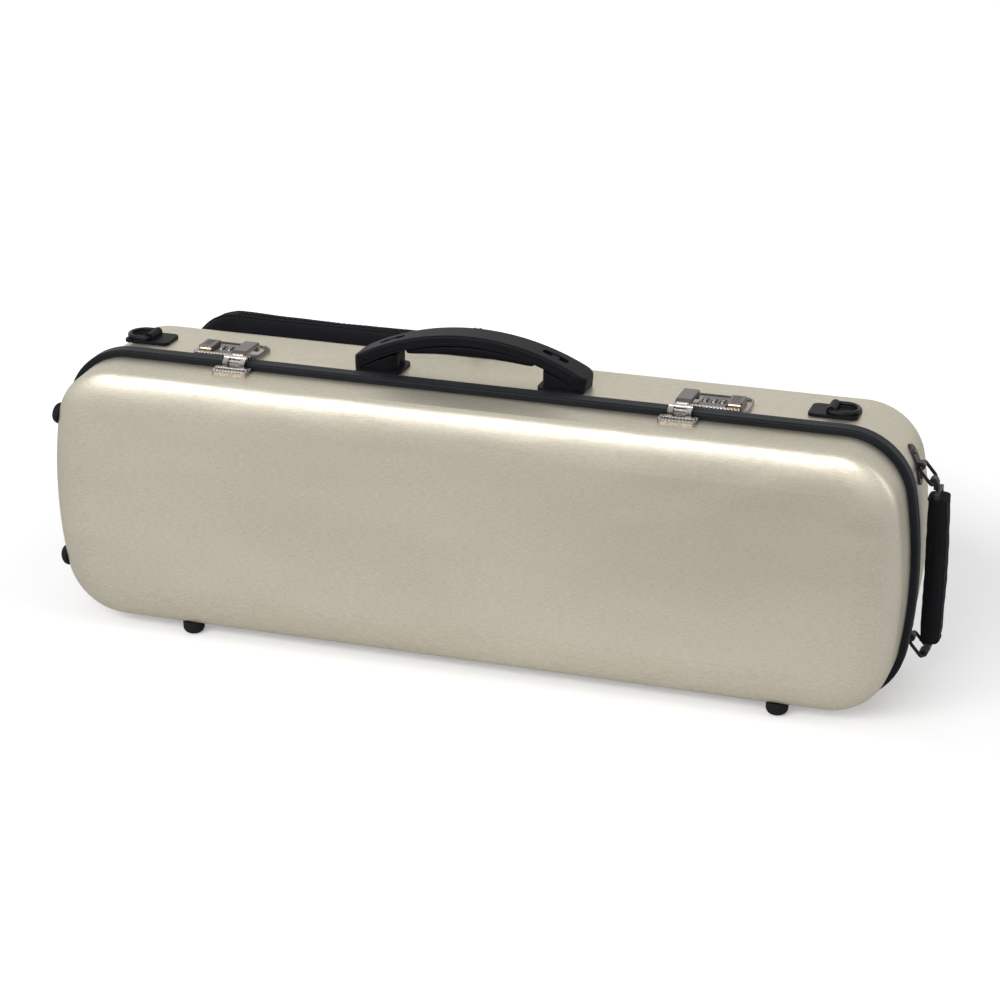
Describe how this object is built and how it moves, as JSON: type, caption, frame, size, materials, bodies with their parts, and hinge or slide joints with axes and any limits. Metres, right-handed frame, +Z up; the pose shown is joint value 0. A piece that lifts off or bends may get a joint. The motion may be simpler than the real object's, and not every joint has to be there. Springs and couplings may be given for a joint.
{
  "type": "viola case",
  "caption": "Oblong hard viola case with a drafted lid and base, raised rim trim, combination locks with hasps, carry handle, side handle, strap rings and a back pocket.",
  "frame": {"origin": "middle of the whole case's footprint, on the surface that its four feet stand on", "axes": "+X along the case towards the side handle, +Y towards the base and its back pocket, +Z up to the carry handle"},
  "size_m": [0.8609, 0.2102, 0.3102],
  "materials": {
    "shell_brushed": "champagne metallic film with fine horizontal brush lines",
    "trim_rubber": "satin black profile",
    "black_rubber": "matte",
    "black_plastic": "fine moulded grain",
    "soft_pad": "soft matte grip",
    "gunmetal": "dark nickel plate, polished edges",
    "nickel": "bright nickel plate",
    "dial": "black wheels with plain numbers",
    "steel": "plain",
    "black_metal": "black painted wire and castings",
    "webbing": "woven nylon",
    "sleeve_fabric": "padded nylon",
    "pocket_fabric": "coarse woven nylon",
    "plush": "charcoal plush over foam",
    "brass": "plain"
  },
  "bodies": {
    "base": {"base_shell": "shell_brushed", "base_trim": "trim_rubber", "edge_seal": "black_rubber", "base_feet": "black_rubber", "base_lining": "plush", "neck_strap": "plush", "hinge_leaves_base": "gunmetal", "hinge_pins": "steel", "base_screws": "gunmetal", "handle_mount_left": "black_plastic", "handle_mount_right": "black_plastic", "handle_posts": "black_metal", "lock_plate_left": "gunmetal", "lock_housing_left": "gunmetal", "strap_tab_left": "black_plastic", "lock_plate_right": "gunmetal", "lock_housing_right": "gunmetal", "strap_tab_right": "black_plastic", "lock_axles": "steel", "side_bracket_upper": "black_metal", "side_bracket_lower": "black_metal", "music_pocket": "pocket_fabric", "compartment_pin": "steel"},
    "lid": {"lid_shell": "shell_brushed", "lid_trim": "trim_rubber", "lid_feet": "black_rubber", "lid_lining": "plush", "bow_tip_loops": "plush", "hinge_leaves_lid": "gunmetal", "lid_screws": "gunmetal", "keeper_left": "gunmetal", "keeper_right": "gunmetal", "hasp_pins": "steel"},
    "handle": {"handle_strap": "black_plastic", "handle_pad": "soft_pad"},
    "dial_left_1": {"lock_dial_left_1": "dial"},
    "dial_left_2": {"lock_dial_left_2": "dial"},
    "dial_left_3": {"lock_dial_left_3": "dial"},
    "button_left": {"lock_button_left": "gunmetal"},
    "hasp_left": {"hasp_link_left": "nickel", "hasp_bar_left": "gunmetal"},
    "d_ring_left": {"d_ring_left": "black_metal"},
    "dial_right_1": {"lock_dial_right_1": "dial"},
    "dial_right_2": {"lock_dial_right_2": "dial"},
    "dial_right_3": {"lock_dial_right_3": "dial"},
    "button_right": {"lock_button_right": "gunmetal"},
    "hasp_right": {"hasp_link_right": "nickel", "hasp_bar_right": "gunmetal"},
    "d_ring_right": {"d_ring_right": "black_metal"},
    "side_loop_upper": {"side_loop_upper": "black_metal"},
    "side_handle": {"side_hook_upper": "black_metal", "side_hook_lower": "black_metal", "side_strap": "webbing", "side_sleeve": "sleeve_fabric"},
    "bow_clip_upper": {"bow_clip_upper": "black_plastic"},
    "side_loop_lower": {"side_loop_lower": "black_metal"},
    "bow_clip_lower": {"bow_clip_lower": "black_plastic"},
    "pocket_slider": {"pocket_slider": "black_metal"},
    "compartment_panel": {"compartment_panel": "plush"}
  },
  "joints": [
    {"name": "lid_hinge", "type": "hinge", "parent": "base", "child": "lid", "pos_m": [-0.01157, -0.04815, 0.0047], "axis": [1, 0, 0], "range_deg": [0, 100]},
    {"name": "handle_lift", "type": "slide", "parent": "base", "child": "handle", "axis": [0, 0.0262, 0.9997], "range_m": [0, 0.004]},
    {"name": "dial_left_1_turn", "type": "hinge", "parent": "base", "child": "dial_left_1", "pos_m": [-0.26192, -0.01718, 0.26539], "axis": [1, 0, 0], "continuous": true},
    {"name": "dial_left_2_turn", "type": "hinge", "parent": "base", "child": "dial_left_2", "pos_m": [-0.27012, -0.01718, 0.26539], "axis": [1, 0, 0], "continuous": true},
    {"name": "dial_left_3_turn", "type": "hinge", "parent": "base", "child": "dial_left_3", "pos_m": [-0.27832, -0.01718, 0.26539], "axis": [1, 0, 0], "continuous": true},
    {"name": "button_left_slide", "type": "slide", "parent": "base", "child": "button_left", "axis": [-1, 0, 0], "range_m": [0, 0.004], "stiffness_N_per_m": 300},
    {"name": "hasp_left_turn", "type": "hinge", "parent": "lid", "child": "hasp_left", "pos_m": [-0.24832, -0.05365, 0.2771], "axis": [1, 0, 0], "range_deg": [0, 150]},
    {"name": "d_ring_left_swing", "type": "hinge", "parent": "base", "child": "d_ring_left", "pos_m": [-0.35957, 0.00198, 0.27119], "axis": [0, 0.9997, -0.0262], "range_deg": [0, 170]},
    {"name": "dial_right_1_turn", "type": "hinge", "parent": "base", "child": "dial_right_1", "pos_m": [0.20078, -0.01718, 0.26539], "axis": [1, 0, 0], "continuous": true},
    {"name": "dial_right_2_turn", "type": "hinge", "parent": "base", "child": "dial_right_2", "pos_m": [0.20898, -0.01718, 0.26539], "axis": [1, 0, 0], "continuous": true},
    {"name": "dial_right_3_turn", "type": "hinge", "parent": "base", "child": "dial_right_3", "pos_m": [0.21718, -0.01718, 0.26539], "axis": [1, 0, 0], "continuous": true},
    {"name": "button_right_slide", "type": "slide", "parent": "base", "child": "button_right", "axis": [1, 0, 0], "range_m": [0, 0.004], "stiffness_N_per_m": 300},
    {"name": "hasp_right_turn", "type": "hinge", "parent": "lid", "child": "hasp_right", "pos_m": [0.18718, -0.05365, 0.2771], "axis": [1, 0, 0], "range_deg": [0, 150]},
    {"name": "d_ring_right_swing", "type": "hinge", "parent": "base", "child": "d_ring_right", "pos_m": [0.31543, 0.00198, 0.27119], "axis": [0, -0.9997, 0.0262], "range_deg": [0, 170]},
    {"name": "side_loop_upper_swing", "type": "hinge", "parent": "base", "child": "side_loop_upper", "pos_m": [0.39868, 0.00685, 0.223], "axis": [0, -1, 0], "range_deg": [0, 80]},
    {"name": "side_handle_swing", "type": "hinge", "parent": "side_loop_upper", "child": "side_handle", "pos_m": [0.41044, 0.00685, 0.20898], "axis": [0, -1, 0], "range_deg": [-80, 0]},
    {"name": "side_loop_lower_swing", "type": "hinge", "parent": "base", "child": "side_loop_lower", "pos_m": [0.39868, 0.00685, 0.0515], "axis": [0, -1, 0], "range_deg": [0, 80]},
    {"name": "compartment_panel_hinge", "type": "hinge", "parent": "base", "child": "compartment_panel", "pos_m": [-0.16257, -0.03665, 0.2429], "axis": [-1, 0, 0], "range_deg": [0, 90]},
    {"name": "bow_clip_upper_turn", "type": "hinge", "parent": "lid", "child": "bow_clip_upper", "pos_m": [0.30643, -0.09485, 0.1705], "axis": [0, 1, 0], "range_deg": [0, 90]},
    {"name": "bow_clip_lower_turn", "type": "hinge", "parent": "lid", "child": "bow_clip_lower", "pos_m": [0.30643, -0.09485, 0.1085], "axis": [0, 1, 0], "range_deg": [0, 90]},
    {"name": "pocket_zip_slide", "type": "slide", "parent": "base", "child": "pocket_slider", "axis": [-1, 0, 0], "range_m": [0, 0.236]}
  ],
  "couplings": [
    {"joint": "side_handle_swing", "follows": "side_loop_upper_swing", "ratio": -1},
    {"joint": "side_loop_lower_swing", "follows": "side_loop_upper_swing", "ratio": 1}
  ]
}
